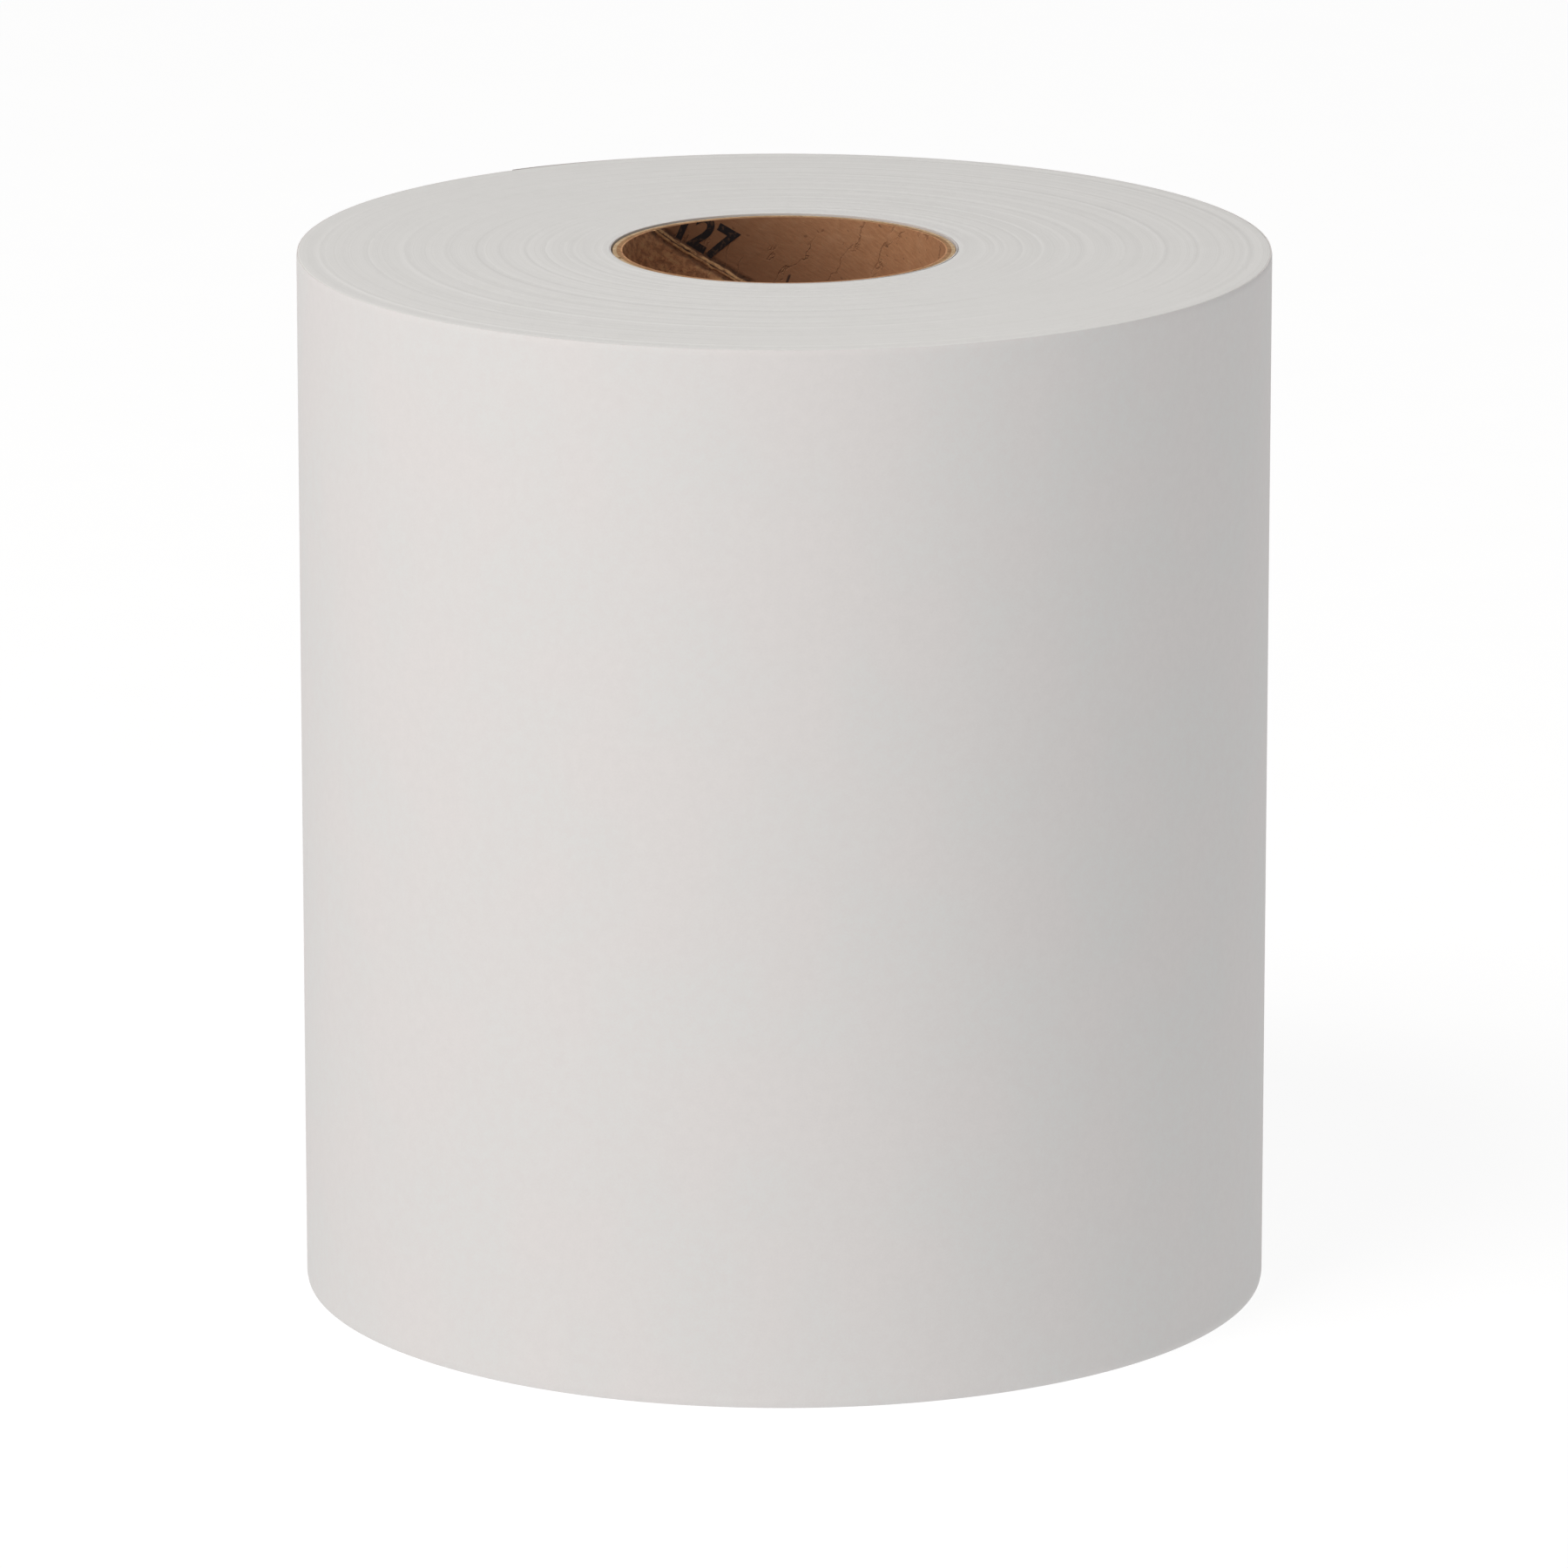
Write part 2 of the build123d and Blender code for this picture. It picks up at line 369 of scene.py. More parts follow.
@dataclass(frozen=True)
class KraftFinish:
    """The core's brown inner ply: long fibres, specks, wrinkles, worn strip edges and a small tear.

    It is mapped on the flat strip. The strip's lower edge is stained and its upper edge is frayed,
    most of all near the core's upper end. Its wrinkles, edge creases, edge lips and tear are darkened
    with painted shade.
    """

    length: float
    width: float
    top: float
    name: str = "kraft_liner"
    base: Colour = (0.61, 0.318, 0.163)
    deep: Colour = (0.50, 0.248, 0.122)
    pale: Colour = (0.68, 0.395, 0.225)
    worn: Colour = (0.66, 0.41, 0.20)
    shade: Colour = (0.17, 0.078, 0.038)
    # Near-black: the dark specks, and the painted shade in the creases, along the edges' lips and in the
    # tear.
    gap: Colour = (0.060, 0.030, 0.020)
    streak_size: float = 0.8 * MM
    streak_stretch: Triple = (0.3, 1.0, 1.0)
    streak_height: float = 0.08
    mottle_size: float = 6 * MM
    mottle_height: float = 0.14
    fleck_size: float = 0.9 * MM
    fleck_stretch: Triple = (0.45, 1.0, 1.0)
    fleck_height: float = 0.05
    fray_size: float = 1.7 * MM
    fray_stretch: Triple = (0.6, 1.0, 1.0)
    fray_reach: float = 34 * MM
    fray_depth: float = 44 * MM
    fray_height: float = 0.3
    stain_reach: float = 42 * MM
    edge_band: float = 0.95 * MM
    edge_wander: float = 1.3 * MM
    edge_wander_size: float = 4 * MM
    crease_depth: float = 0.18
    wrinkle_size: float = 9 * MM
    wrinkle_stretch: Triple = (1.0, 0.45, 1.0)
    wrinkle_patch_size: float = 16 * MM
    wrinkle_depth: float = 0.12
    tear_depth: float = 15 * MM
    tear_length: float = 2.6 * MM
    tear_edge: float = 0.42 * MM
    tear_core: float = 0.2 * MM
    tear_offset: float = 1.0 * MM
    tear_slant: float = 0.35
    roughness: float = 0.74
    roughness_spread: float = 0.14
    specular: float = 0.3

    def material(self) -> bpy.types.Material:
        """Builds the material.

        Returns:
            The finished material.
        """
        graph = Graph.of_finish(self.name)
        flat = graph.sheet_place(self.length, self.width)
        streaky = graph.scaled(flat, self.streak_stretch)
        streak = graph.noise(streaky, self.streak_size, detail=3.0, roughness=0.65)
        mottle = graph.noise(flat, self.mottle_size, detail=4.0, roughness=0.62)
        flecky = graph.scaled(flat, self.fleck_stretch)
        fleck = graph.noise(flecky, self.fleck_size, detail=1.0, roughness=0.4)
        tangled = graph.scaled(flat, self.fray_stretch)
        tangle = graph.noise(tangled, self.fray_size, detail=4.0, roughness=0.68)
        _, across, _ = graph.parts(flat)
        fray = self._fray(graph, across)
        wrinkle = self._wrinkles(graph, flat)
        worn, crease, lip = self._edges(graph, flat, across)
        fibres = graph.mix(graph.rise(streak, 0.25, 0.75), self.deep, self.base)
        colour = graph.paint(fibres, [
            (graph.rise(mottle, 0.48, 0.75) * 0.55, self.pale),
            (graph.rise(fleck, 0.68, 0.76) * 0.45, self.worn),
            (graph.rise(fleck, 0.30, 0.24) * 0.5, self.gap),
            (graph.rise(across, self.stain_reach, 0.0) * 0.8, self.shade),
            (fray * graph.rise(tangle, 0.54, 0.40) * 0.45, self.shade),
            (fray * graph.rise(tangle, 0.50, 0.62) * 0.65, self.worn),
            # painted shade in the crease beside each worn edge
            (crease * graph.rise(tangle, 0.3, 0.6) * 0.85, self.gap),
            # painted shade along the wrinkles
            (wrinkle * 0.45, self.shade),
            (worn * graph.rise(tangle + streak, 0.7, 1.15), self.worn),
            # painted shade at the very edge, by the seam's gap
            (lip, self.gap),
            # painted shade inside the tear
            (self._tear(graph), self.gap),
        ])
        fibre_height = streak * self.streak_height + mottle * self.mottle_height + fleck * self.fleck_height
        height = (fibre_height + fray * tangle * self.fray_height
                  - crease * self.crease_depth - wrinkle * self.wrinkle_depth)
        return graph.surface({
            "Base Color": colour,
            "Roughness": self.roughness + streak * self.roughness_spread,
            "Normal": graph.bump(height),
            "Specular IOR Level": self.specular,
        })

    def _fray(self, graph: Graph, across: Field) -> Field:
        """How rough each point is, from the strip's upper edge down and from the core's end down.

        Args:
            graph: the material's graph.
            across: metres across the strip from its lower edge.

        Returns:
            The share of the full fray.
        """
        _, _, height = graph.parts(graph.place())
        near_end = graph.rise(height, self.top - self.fray_depth, self.top - 0.3 * self.fray_depth)
        near_edge = graph.rise(across, self.width - self.fray_reach, self.width - 0.3 * self.fray_reach)
        return near_edge * near_end

    def _edges(self, graph: Graph, flat: bpy.types.NodeSocket, across: Field) -> tuple[Field, Field, Field]:
        """What shows along both of the strip's edges.

        Args:
            graph: the material's graph.
            flat: the point on the flat strip.
            across: metres across the strip from its lower edge.

        Returns:
            The worn band, the crease beside it and the lip at the very edge; the crease and the lip are
            painted dark as shade.
        """
        drift = graph.noise(flat, self.edge_wander_size, detail=3.0, roughness=0.6) - 0.5
        inset = graph.math("MINIMUM", across, self.width - across) + drift * self.edge_wander
        worn = graph.rise(inset, self.edge_band, 0.6 * self.edge_band)
        crease = graph.rise(inset, 2.4 * self.edge_band, 1.3 * self.edge_band) * (1.0 - worn)
        lip = graph.rise(inset, 0.3 * self.edge_band, 0.0)
        return worn, crease, lip

    def _wrinkles(self, graph: Graph, flat: bpy.types.NodeSocket) -> Field:
        """Thin broken lines where the ply has buckled, mostly across its length; they are sunk in the bump
        and darkened as painted shade.

        Args:
            graph: the material's graph.
            flat: the point on the flat strip.

        Returns:
            How much of a wrinkle each point is.
        """
        stretched = graph.scaled(flat, self.wrinkle_stretch)
        wave = graph.noise(stretched, self.wrinkle_size, detail=5.0, roughness=0.55)
        patch = graph.noise(flat, self.wrinkle_patch_size, detail=2.0, roughness=0.5)
        line = graph.rise(graph.math("ABSOLUTE", wave - 0.5), 0.012, 0.002)
        return line * graph.rise(patch, 0.46, 0.56)

    def _tear(self, graph: Graph) -> Field:
        """The small slanting tear in the core's far wall, painted near-black as the shade inside it.

        Args:
            graph: the material's graph.

        Returns:
            How much of it covers each point.
        """
        x, y, z = graph.parts(graph.place())
        drop = z - (self.top - self.tear_depth)
        aside = graph.math("ABSOLUTE", x - drop * self.tear_slant - self.tear_offset)
        beside = graph.rise(aside, self.tear_edge, self.tear_core)
        along = graph.rise(graph.math("ABSOLUTE", drop), 0.5 * self.tear_length, 0.3 * self.tear_length)
        on_far_wall = graph.rise(y, 0.0, 10 * MM)
        return beside * along * on_far_wall


@dataclass(frozen=True)
class BoardFinish:
    """Core board, fibrous where it is cut."""

    name: str
    light: Colour
    dark: Colour
    fibre_size: float = 0.9 * MM
    fibre_height: float = 0.12
    blotch_size: float = 5 * MM
    roughness: float = 0.82
    roughness_spread: float = 0.12
    specular: float = 0.25

    def material(self) -> bpy.types.Material:
        """Builds the material.

        Returns:
            The finished material.
        """
        graph = Graph.of_finish(self.name)
        place = graph.place()
        fibre = graph.noise(place, self.fibre_size, detail=4.0, roughness=0.7)
        blotch = graph.noise(place, self.blotch_size, detail=2.0)
        share = graph.rise(fibre * 0.7 + blotch * 0.3, 0.36, 0.62)
        return graph.surface({
            "Base Color": graph.mix(share, self.dark, self.light),
            "Roughness": self.roughness + fibre * self.roughness_spread,
            "Normal": graph.bump(fibre * self.fibre_height),
            "Specular IOR Level": self.specular,
        })


@dataclass(frozen=True)
class TapeFinish:
    """Cream paper tape with fine crepe lines across its length."""

    name: str = "crepe_tape"
    light: Colour = (0.78, 0.68, 0.51)
    dark: Colour = (0.66, 0.55, 0.38)
    crepe_size: float = 0.75 * MM
    crepe_stretch: Triple = (1.0, 1.0, 0.13)
    crepe_height: float = 0.07
    fibre_size: float = 1.6 * MM
    fibre_height: float = 0.02
    roughness: float = 0.5
    roughness_spread: float = 0.16
    specular: float = 0.45

    def material(self) -> bpy.types.Material:
        """Builds the material.

        Returns:
            The finished material.
        """
        graph = Graph.of_finish(self.name)
        place = graph.place()
        stretched = graph.scaled(place, self.crepe_stretch)
        crepe = graph.noise(stretched, self.crepe_size, detail=2.0, roughness=0.6)
        fibre = graph.noise(place, self.fibre_size, detail=3.0, roughness=0.6)
        share = graph.rise(crepe * 0.75 + fibre * 0.25, 0.3, 0.7)
        return graph.surface({
            "Base Color": graph.mix(share, self.dark, self.light),
            "Roughness": self.roughness + crepe * self.roughness_spread,
            "Normal": graph.bump(crepe * self.crepe_height + fibre * self.fibre_height),
            "Specular IOR Level": self.specular,
        })


@dataclass(frozen=True)
class InkFinish:
    """Dark stamping ink that has soaked into kraft and worn thin in places."""

    name: str = "stamp_ink"
    ink: Colour = (0.016, 0.013, 0.015)
    thin: Colour = (0.085, 0.048, 0.030)
    wear_size: float = 1.3 * MM
    wear_height: float = 0.05
    roughness: float = 0.62
    roughness_spread: float = 0.15
    specular: float = 0.3

    def material(self) -> bpy.types.Material:
        """Builds the material.

        Returns:
            The finished material.
        """
        graph = Graph.of_finish(self.name)
        wear = graph.noise(graph.place(), self.wear_size, detail=3.0, roughness=0.7)
        return graph.surface({
            "Base Color": graph.mix(graph.rise(wear, 0.5, 0.66), self.ink, self.thin),
            "Roughness": self.roughness + wear * self.roughness_spread,
            "Normal": graph.bump(wear * self.wear_height),
            "Specular IOR Level": self.specular,
        })


# ---------------------------------------------------------------- modelling


class Ends(Enum):
    """Where the rows of a sheet lie closest together."""

    EVEN = "even"
    CLOSE = "close"

    def spread(self, share: float) -> float:
        """Turns an even share of the way across into the share that this spacing gives."""
        if self is Ends.CLOSE:
            return 0.5 - 0.5 * math.cos(math.pi * share)
        return share


def deselect_all() -> None:
    """Leaves nothing selected, so that the next operator acts on its own object only."""
    if bpy.context.object and bpy.context.object.mode != "OBJECT":
        bpy.ops.object.mode_set(mode="OBJECT")
    bpy.ops.object.select_all(action="DESELECT")


def take_new(name: str) -> bpy.types.Object:
    """Names the object that an operator has just added.

    Args:
        name: what the piece is called.

    Returns:
        The object, still selected and active.
    """
    piece = bpy.context.object
    piece.name = name
    piece.data.name = name
    return piece


def flat_grid(name: str, columns: int, rows: int, ends: Ends = Ends.EVEN) -> bpy.types.Object:
    """A flat sheet one unit square, mapped by the shares of its length and width.

    Args:
        name: what the piece is called.
        columns: cells along the sheet.
        rows: cells across it.
        ends: where its rows lie closest together.

    Returns:
        The sheet, centred on the origin.
    """
    deselect_all()
    bpy.ops.mesh.primitive_grid_add(x_subdivisions=columns, y_subdivisions=rows, size=1.0, calc_uvs=True)
    piece = take_new(name)
    for vertex in piece.data.vertices:
        vertex.co.y = ends.spread(vertex.co.y + 0.5) - 0.5
    shares = piece.data.uv_layers.active.data
    for loop in piece.data.loops:
        place = piece.data.vertices[loop.vertex_index].co
        shares[loop.index].uv = (place.x + 0.5, place.y + 0.5)
    return piece


def lay(piece: bpy.types.Object, shape: Callable[[float, float], Vector]) -> None:
    """Moves every point of a flat grid to where the shape puts it.

    Args:
        piece: a grid one unit square.
        shape: gives a point for the shares, from 0 to 1, of the way along and across.
    """
    for vertex in piece.data.vertices:
        vertex.co = shape(vertex.co.x + 0.5, vertex.co.y + 0.5)


def thicken(piece: bpy.types.Object, thickness: float, offset: float) -> None:
    """Gives a sheet its thickness.

    Args:
        piece: the sheet.
        thickness: in metres.
        offset: -1 to put it behind the sheet's face, 1 to put it before the face.
    """
    bpy.context.view_layer.objects.active = piece
    wall = piece.modifiers.new("wall", "SOLIDIFY")
    wall.thickness = thickness
    wall.offset = offset
    bpy.ops.object.modifier_apply(modifier=wall.name)


def edit(piece: bpy.types.Object, *steps: Callable[[], object]) -> None:
    """Runs operators in edit mode on the whole of a piece.

    Args:
        piece: what they act on.
        steps: the operators, in order.
    """
    deselect_all()
    piece.select_set(True)
    bpy.context.view_layer.objects.active = piece
    bpy.ops.object.mode_set(mode="EDIT")
    for step in steps:
        bpy.ops.mesh.select_all(action="SELECT")
        step()
    bpy.ops.object.mode_set(mode="OBJECT")


def cut_flat(height: float, keep_below: bool) -> Callable[[], object]:
    """A step that cuts a piece by a level plane and drops one side of it."""
    return lambda: bpy.ops.mesh.bisect(
        plane_co=(0, 0, height), plane_no=(0, 0, 1),
        clear_outer=keep_below, clear_inner=not keep_below)


def merge_points() -> object:
    """A step that merges points that lie together."""
    return bpy.ops.mesh.remove_doubles(threshold=MERGE_DISTANCE)


def face_outwards() -> object:
    """A step that points every face outwards."""
    return bpy.ops.mesh.normals_make_consistent(inside=False)


def smooth(piece: bpy.types.Object) -> None:
    """Shades a piece smooth, with its sharp edges kept.

    Args:
        piece: what is shaded.
    """
    deselect_all()
    piece.select_set(True)
    bpy.context.view_layer.objects.active = piece
    bpy.ops.object.shade_smooth_by_angle(angle=SMOOTH_ANGLE)


def dress(piece: bpy.types.Object, slot: str, *materials: bpy.types.Material) -> None:
    """Gives a piece its materials.

    Args:
        piece: what is dressed.
        slot: the record's material slot that they stand for; it is not used.
        materials: in the order of the faces' material numbers.
    """
    piece.data.materials.clear()
    for material in materials:
        piece.data.materials.append(material)


def radii(node: str) -> tuple[float, float]:
    """The nearest and farthest that a CAD node's points lie from the roll's axis."""
    reach = [math.hypot(vertex.co.x, vertex.co.y) for vertex in frame["nodes"][node].data.vertices]
    return min(reach), max(reach)


def joint_place(name: str) -> Vector:
    """Where a joint's axis passes, in metres."""
    return Vector(next(joint["pos_m"] for joint in frame["joints"] if joint["name"] == name))


def on_cylinder(radius: float, angle: float, height: float) -> Vector:
    """The point at that radius, angle and height."""
    return Vector((radius * math.cos(angle), radius * math.sin(angle), height))


def ease(value: float, low: float, high: float) -> float:
    """0 at low, 1 at high and a smooth step between; low may be the larger."""
    share = min(1.0, max(0.0, (value - low) / (high - low)))
    return share * share * (3 - 2 * share)


# ---------------------------------------------------------------- the web's outer laps


@dataclass(frozen=True)
class Web:
    """The outer laps of the web: one slow spiral, measured in radians past the tail's root.

    Each of the swell's waves has a count round the roll, a lean over its height and a start, in radians.
    """

    root_angle: float
    root_radius: float
    tail_arc: float
    height: float
    thickness: float = 0.25 * MM
    air: float = 0.05 * MM
    rim_lean: float = 0.16 * MM
    rim_depth: float = 0.9 * MM
    edge_wander: float = 0.10 * MM
    edge_waves: int = 3
    edge_wave_start: float = 0.6
    swell: float = 0.10 * MM
    swell_waves: tuple[Triple, Triple] = ((5, 1.4, 0.0), (9, -2.2, 1.0))
    cover_start: float = 0.25
    cover_end: float = 0.5
    corner_curl: float = 0.5 * MM
    corner_reach: float = 46 * MM
    curl_power: float = 1.5
    flat_share: float = 0.16

    @classmethod
    def measured(cls) -> "Web":
        """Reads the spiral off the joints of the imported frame.

        Returns:
            The web.
        """
        root = joint_place("tail_lift")
        edge = joint_place("tape_peel")
        root_angle = math.atan2(root.y, root.x)
        tail_arc = math.atan2(edge.y, edge.x) - root_angle
        return cls(root_angle, math.hypot(root.x, root.y), tail_arc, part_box("wound_paper")[1].z)

    @property
    def rise(self) -> float:
        """How much the spiral's radius grows in one radian."""
        return (self.thickness + self.air) / FULL_TURN

    def outer(self, turned: float) -> float:
        """The outer face's radius that many radians past the tail's root; the lap is below 0."""
        return self.root_radius + self.rise * turned

    def angle(self, turned: float) -> float:
        """The angle from +X that many radians past the tail's root."""
        return self.root_angle + turned

    def point(self, turned: float, height: float, out: float = 0.0) -> Vector:
        """The point on the outer face there, or that far outside it."""
        return on_cylinder(self.outer(turned) + out, self.angle(turned), height)

    def face(self, turned: float, up: float) -> Vector:
        """The paper's outer face as it really lies, with its swells and its soft rims.

        Args:
            turned: radians past the tail's root.
            up: the share of the way up the roll.

        Returns:
            The point.
        """
        inset = self.edge_wander * (0.5 + 0.5 * math.sin(self.edge_waves * turned + self.edge_wave_start))
        height = inset + up * (self.height - 2 * inset)
        from_rim = min(height, self.height - height)
        lean = self.rim_lean * ease(from_rim, self.rim_depth, 0.0)
        return self.point(turned, height, self._swell(turned, height) + self._curl(turned, height) - lean)

    def _swell(self, turned: float, height: float) -> float:
        """How far the loose lap stands off, in slow waves; it lies flat where the tail covers it.

        Args:
            turned: radians past the tail's root.
            height: metres up the roll.

        Returns:
            The distance, in metres.
        """
        angle = self.angle(turned)
        up = height / self.height
        waves = sum(math.sin(count * angle + lean * up + start) for count, lean, start in self.swell_waves)
        past_tail = turned - (self.tail_arc - FULL_TURN)
        covered = ease(past_tail, self.cover_end, self.cover_start)
        return self.swell * (0.5 + 0.5 * waves / len(self.swell_waves)) * (1 - covered)

    def _curl(self, turned: float, height: float) -> float:
        """How far the tail's free corners lift, above and below the tape.

        Args:
            turned: radians past the tail's root.
            height: metres up the roll.

        Returns:
            The distance, in metres.
        """
        to_edge = (self.tail_arc - turned) * self.root_radius
        from_middle = abs(height - self.height / 2)
        corner = ease(from_middle, self.flat_share * self.height, 0.5 * self.height)
        return self.corner_curl * corner * ease(to_edge, self.corner_reach, 0.0) ** self.curl_power


@dataclass(frozen=True)
class WoundSheet:
    """A stretch of the web that lies on the outside of the roll."""

    name: str
    web: Web
    start: float
    end: float
    replaces: tuple[str, ...]
    rows: int = 56
    fewest_columns: int = 12
    column_step: float = math.radians(1.5)

    def build(self, finish: bpy.types.Material) -> bpy.types.Object:
        """Lays a flat sheet on the spiral and gives it the paper's thickness.

        Args:
            finish: the paper's material.

        Returns:
            The stretch.
        """
        sweep = self.end - self.start
        columns = max(self.fewest_columns, round(sweep / self.column_step))
        piece = flat_grid(self.name, columns, self.rows, Ends.CLOSE)
        lay(piece, lambda along, across: self.web.face(self.start + sweep * along, across))
        thicken(piece, self.web.thickness, -1.0)
        smooth(piece)
        dress(piece, "backdrop_paper", finish)
        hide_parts(*self.replaces)
        return piece


@dataclass(frozen=True)
class Tail:
    """The free end of the web, in one stretch for each of the tail's panels."""

    web: Web
    bodies: tuple[str, ...] = ("roll", "tail_1", "tail_2", "tail_3")

    def build(self, finish: bpy.types.Material) -> list[bpy.types.Object]:
        """Builds the stretches, which meet at the middles of the tail's panels.

        Args:
            finish: the paper's material.

        Returns:
            The stretches, from the root out.
        """
        count = len(self.bodies) - 1
        panel = self.web.tail_arc / count
        middles = [panel * (number + 0.5) for number in range(count)]
        starts = [0.0, *middles[:-1]]
        ends = [*middles[:-1], self.web.tail_arc]
        middle = self.web.height / 2
        pieces = []
        for number, (start, end) in enumerate(zip(starts, ends)):
            name = f"tail_stretch_{number + 1}"
            node = f"tail_panel_{number + 1}"
            piece = WoundSheet(name, self.web, start, end, (node,)).build(finish)
            self.bodies[number + 1]
            self.web.point(start, middle)
            self.web.point(middles[number], middle)
            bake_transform(piece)
            pieces.append(piece)
        return pieces


@dataclass(frozen=True)
class TailTape:
    """The strip of paper tape that holds the tail: half on the tail, half on the roll."""

    web: Web
    on_tail: float = 22 * MM
    on_roll: float = 22 * MM
    width: float = 30 * MM
    thickness: float = 0.15 * MM
    seat: float = 0.05 * MM
    step_length: float = 1.6 * MM
    tooth: float = 0.55 * MM
    bend_length: float = 9 * MM
    columns: int = 60
    rows: int = 36

    def build(self, finish: bpy.types.Material) -> bpy.types.Object:
        """Lays the strip over the tail's edge, steps it down to the roll and thickens it.

        Args:
            finish: the tape's material.

        Returns:
            The strip.
        """
        piece = flat_grid("tail_tape", self.columns, self.rows)
        lay(piece, self._place)
        thicken(piece, self.thickness, -1.0)
        smooth(piece)
        dress(piece, "paper_tape", finish)
        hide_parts("tail_tape_on_tail", "tail_tape_on_roll")
        middle = self.web.height / 2
        bend = self.bend_length / self.web.root_radius
        self.web.point(self.web.tail_arc, middle)
        self.web.point(self.web.tail_arc + bend, middle)
        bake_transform(piece)
        return piece

    def _place(self, along: float, across: float) -> Vector:
        """The tape's outer face, which has a row of teeth at both of its ends.

        Args:
            along: the share of its length, from its end on the tail.
            across: the share of its width.

        Returns:
            The point.
        """
        notch = self.tooth * abs((across * self.rows / 2) % 1.0 - 0.5) * 2
        reach = -self.on_tail + notch + along * (self.on_tail + self.on_roll - 2 * notch)
        turned = self.web.tail_arc + reach / self.web.root_radius
        height = self.web.height / 2 + (across - 0.5) * self.width
        on_tail = self.web.outer(turned)
        on_roll = self.web.outer(turned - FULL_TURN)
        down = ease(reach, 0.0, self.step_length)
        radius = on_tail + (on_roll - on_tail) * down + self.seat + self.thickness
        return on_cylinder(radius, self.web.angle(turned), height)


# ---------------------------------------------------------------- the wound paper


@dataclass(frozen=True)
class PaperPack:
    """The tight turns between the first and the last, with uneven edges at both ends."""

    web: Web
    inner: float
    band_count: int = 70
    band_spread: float = 0.35
    deepest: float = 0.035 * MM
    step_width: float = 0.10 * MM
    rim_round: float = 0.22 * MM
    rim_points: int = 4
    turn_steps: int = 240
    loose_depth: float = 1.6 * MM
    seed: int = 7

    @property
    def outer(self) -> float:
        """The pack's radius where the last lap starts on it."""
        return self.web.outer(-FULL_TURN) - self.web.thickness - self.web.air

    def build(self, side: bpy.types.Material, ends: bpy.types.Material) -> bpy.types.Object:
        """Spins the pack's section round the axis.

        Args:
            side: the material of the round faces.
            ends: the material of the two ends.

        Returns:
            The pack.
        """
        section = self._section()
        deselect_all()
        bpy.ops.mesh.primitive_circle_add(vertices=len(section), radius=1.0, fill_type="NOTHING")
        piece = take_new("wound_turns")
        for vertex, (radius, height) in zip(piece.data.vertices, section):
            vertex.co = on_cylinder(radius, self.web.root_angle, height)
        edit(piece, self._spin, merge_points, face_outwards)
        self._follow_lap(piece)
        smooth(piece)
        dress(piece, "backdrop_paper", side, ends)
        for polygon in piece.data.polygons:
            polygon.material_index = int(abs(polygon.normal.z) > 0.5)
        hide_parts("wound_paper")
        return piece

    def _spin(self) -> object:
        """A step that spins an outline round the roll's axis."""
        return bpy.ops.mesh.spin(steps=self.turn_steps, angle=FULL_TURN, center=(0, 0, 0), axis=(0, 0, 1))

    def _follow_lap(self, piece: bpy.types.Object) -> None:
        """Moves the pack's loose outermost turns out, so that they lie right under the last lap.

        Args:
            piece: the pack, still round.
        """
        half_step = 0.5 * FULL_TURN / self.turn_steps
        for vertex in piece.data.vertices:
            radius = math.hypot(vertex.co.x, vertex.co.y)
            angle = math.atan2(vertex.co.y, vertex.co.x)
            turned = (angle - self.web.root_angle) % FULL_TURN
            if FULL_TURN - turned < half_step:
                turned = 0.0
            out = self.web.rise * turned * ease(radius, self.outer - self.loose_depth, self.outer)
            vertex.co = on_cylinder(radius + out, angle, vertex.co.z)

    def _section(self) -> list[tuple[float, float]]:
        """The outline of half the pack, with a band of turns to each step.

        Returns:
            Its points, as radii and heights.
        """
        dice = random.Random(self.seed)
        top = self._end_outline(dice)
        bottom = self._end_outline(dice)
        upper = [(radius, self.web.height - depth) for radius, depth in top]
        lower = [(radius, depth) for radius, depth in reversed(bottom)]
        return upper + lower

    def _end_outline(self, dice: random.Random) -> list[tuple[float, float]]:
        """One end's outline, from the bore outwards.

        Args:
            dice: where its chances come from.

        Returns:
            Its points, as radii and depths below the flush face.
        """
        flat_outer = self.outer - self.rim_round
        width = (flat_outer - self.inner) / self.band_count
        spread = self.band_spread
        marks = [self.inner + width * (number + dice.uniform(-spread, spread))
                 for number in range(1, self.band_count)]
        outline = []
        depth = dice.uniform(0, self.deepest)
        start = self.inner
        for mark in [*marks, flat_outer]:
            outline.append((start, depth))
            outline.append((mark - self.step_width, depth))
            start = mark
            depth = dice.uniform(0, self.deepest)
        depth = outline[-1][1]
        for number in range(1, self.rim_points + 1):
            angle = 0.5 * math.pi * number / self.rim_points
            outline.append((flat_outer + self.rim_round * math.sin(angle),
                            depth + self.rim_round * (1 - math.cos(angle))))
        return outline


# ---------------------------------------------------------------- the core


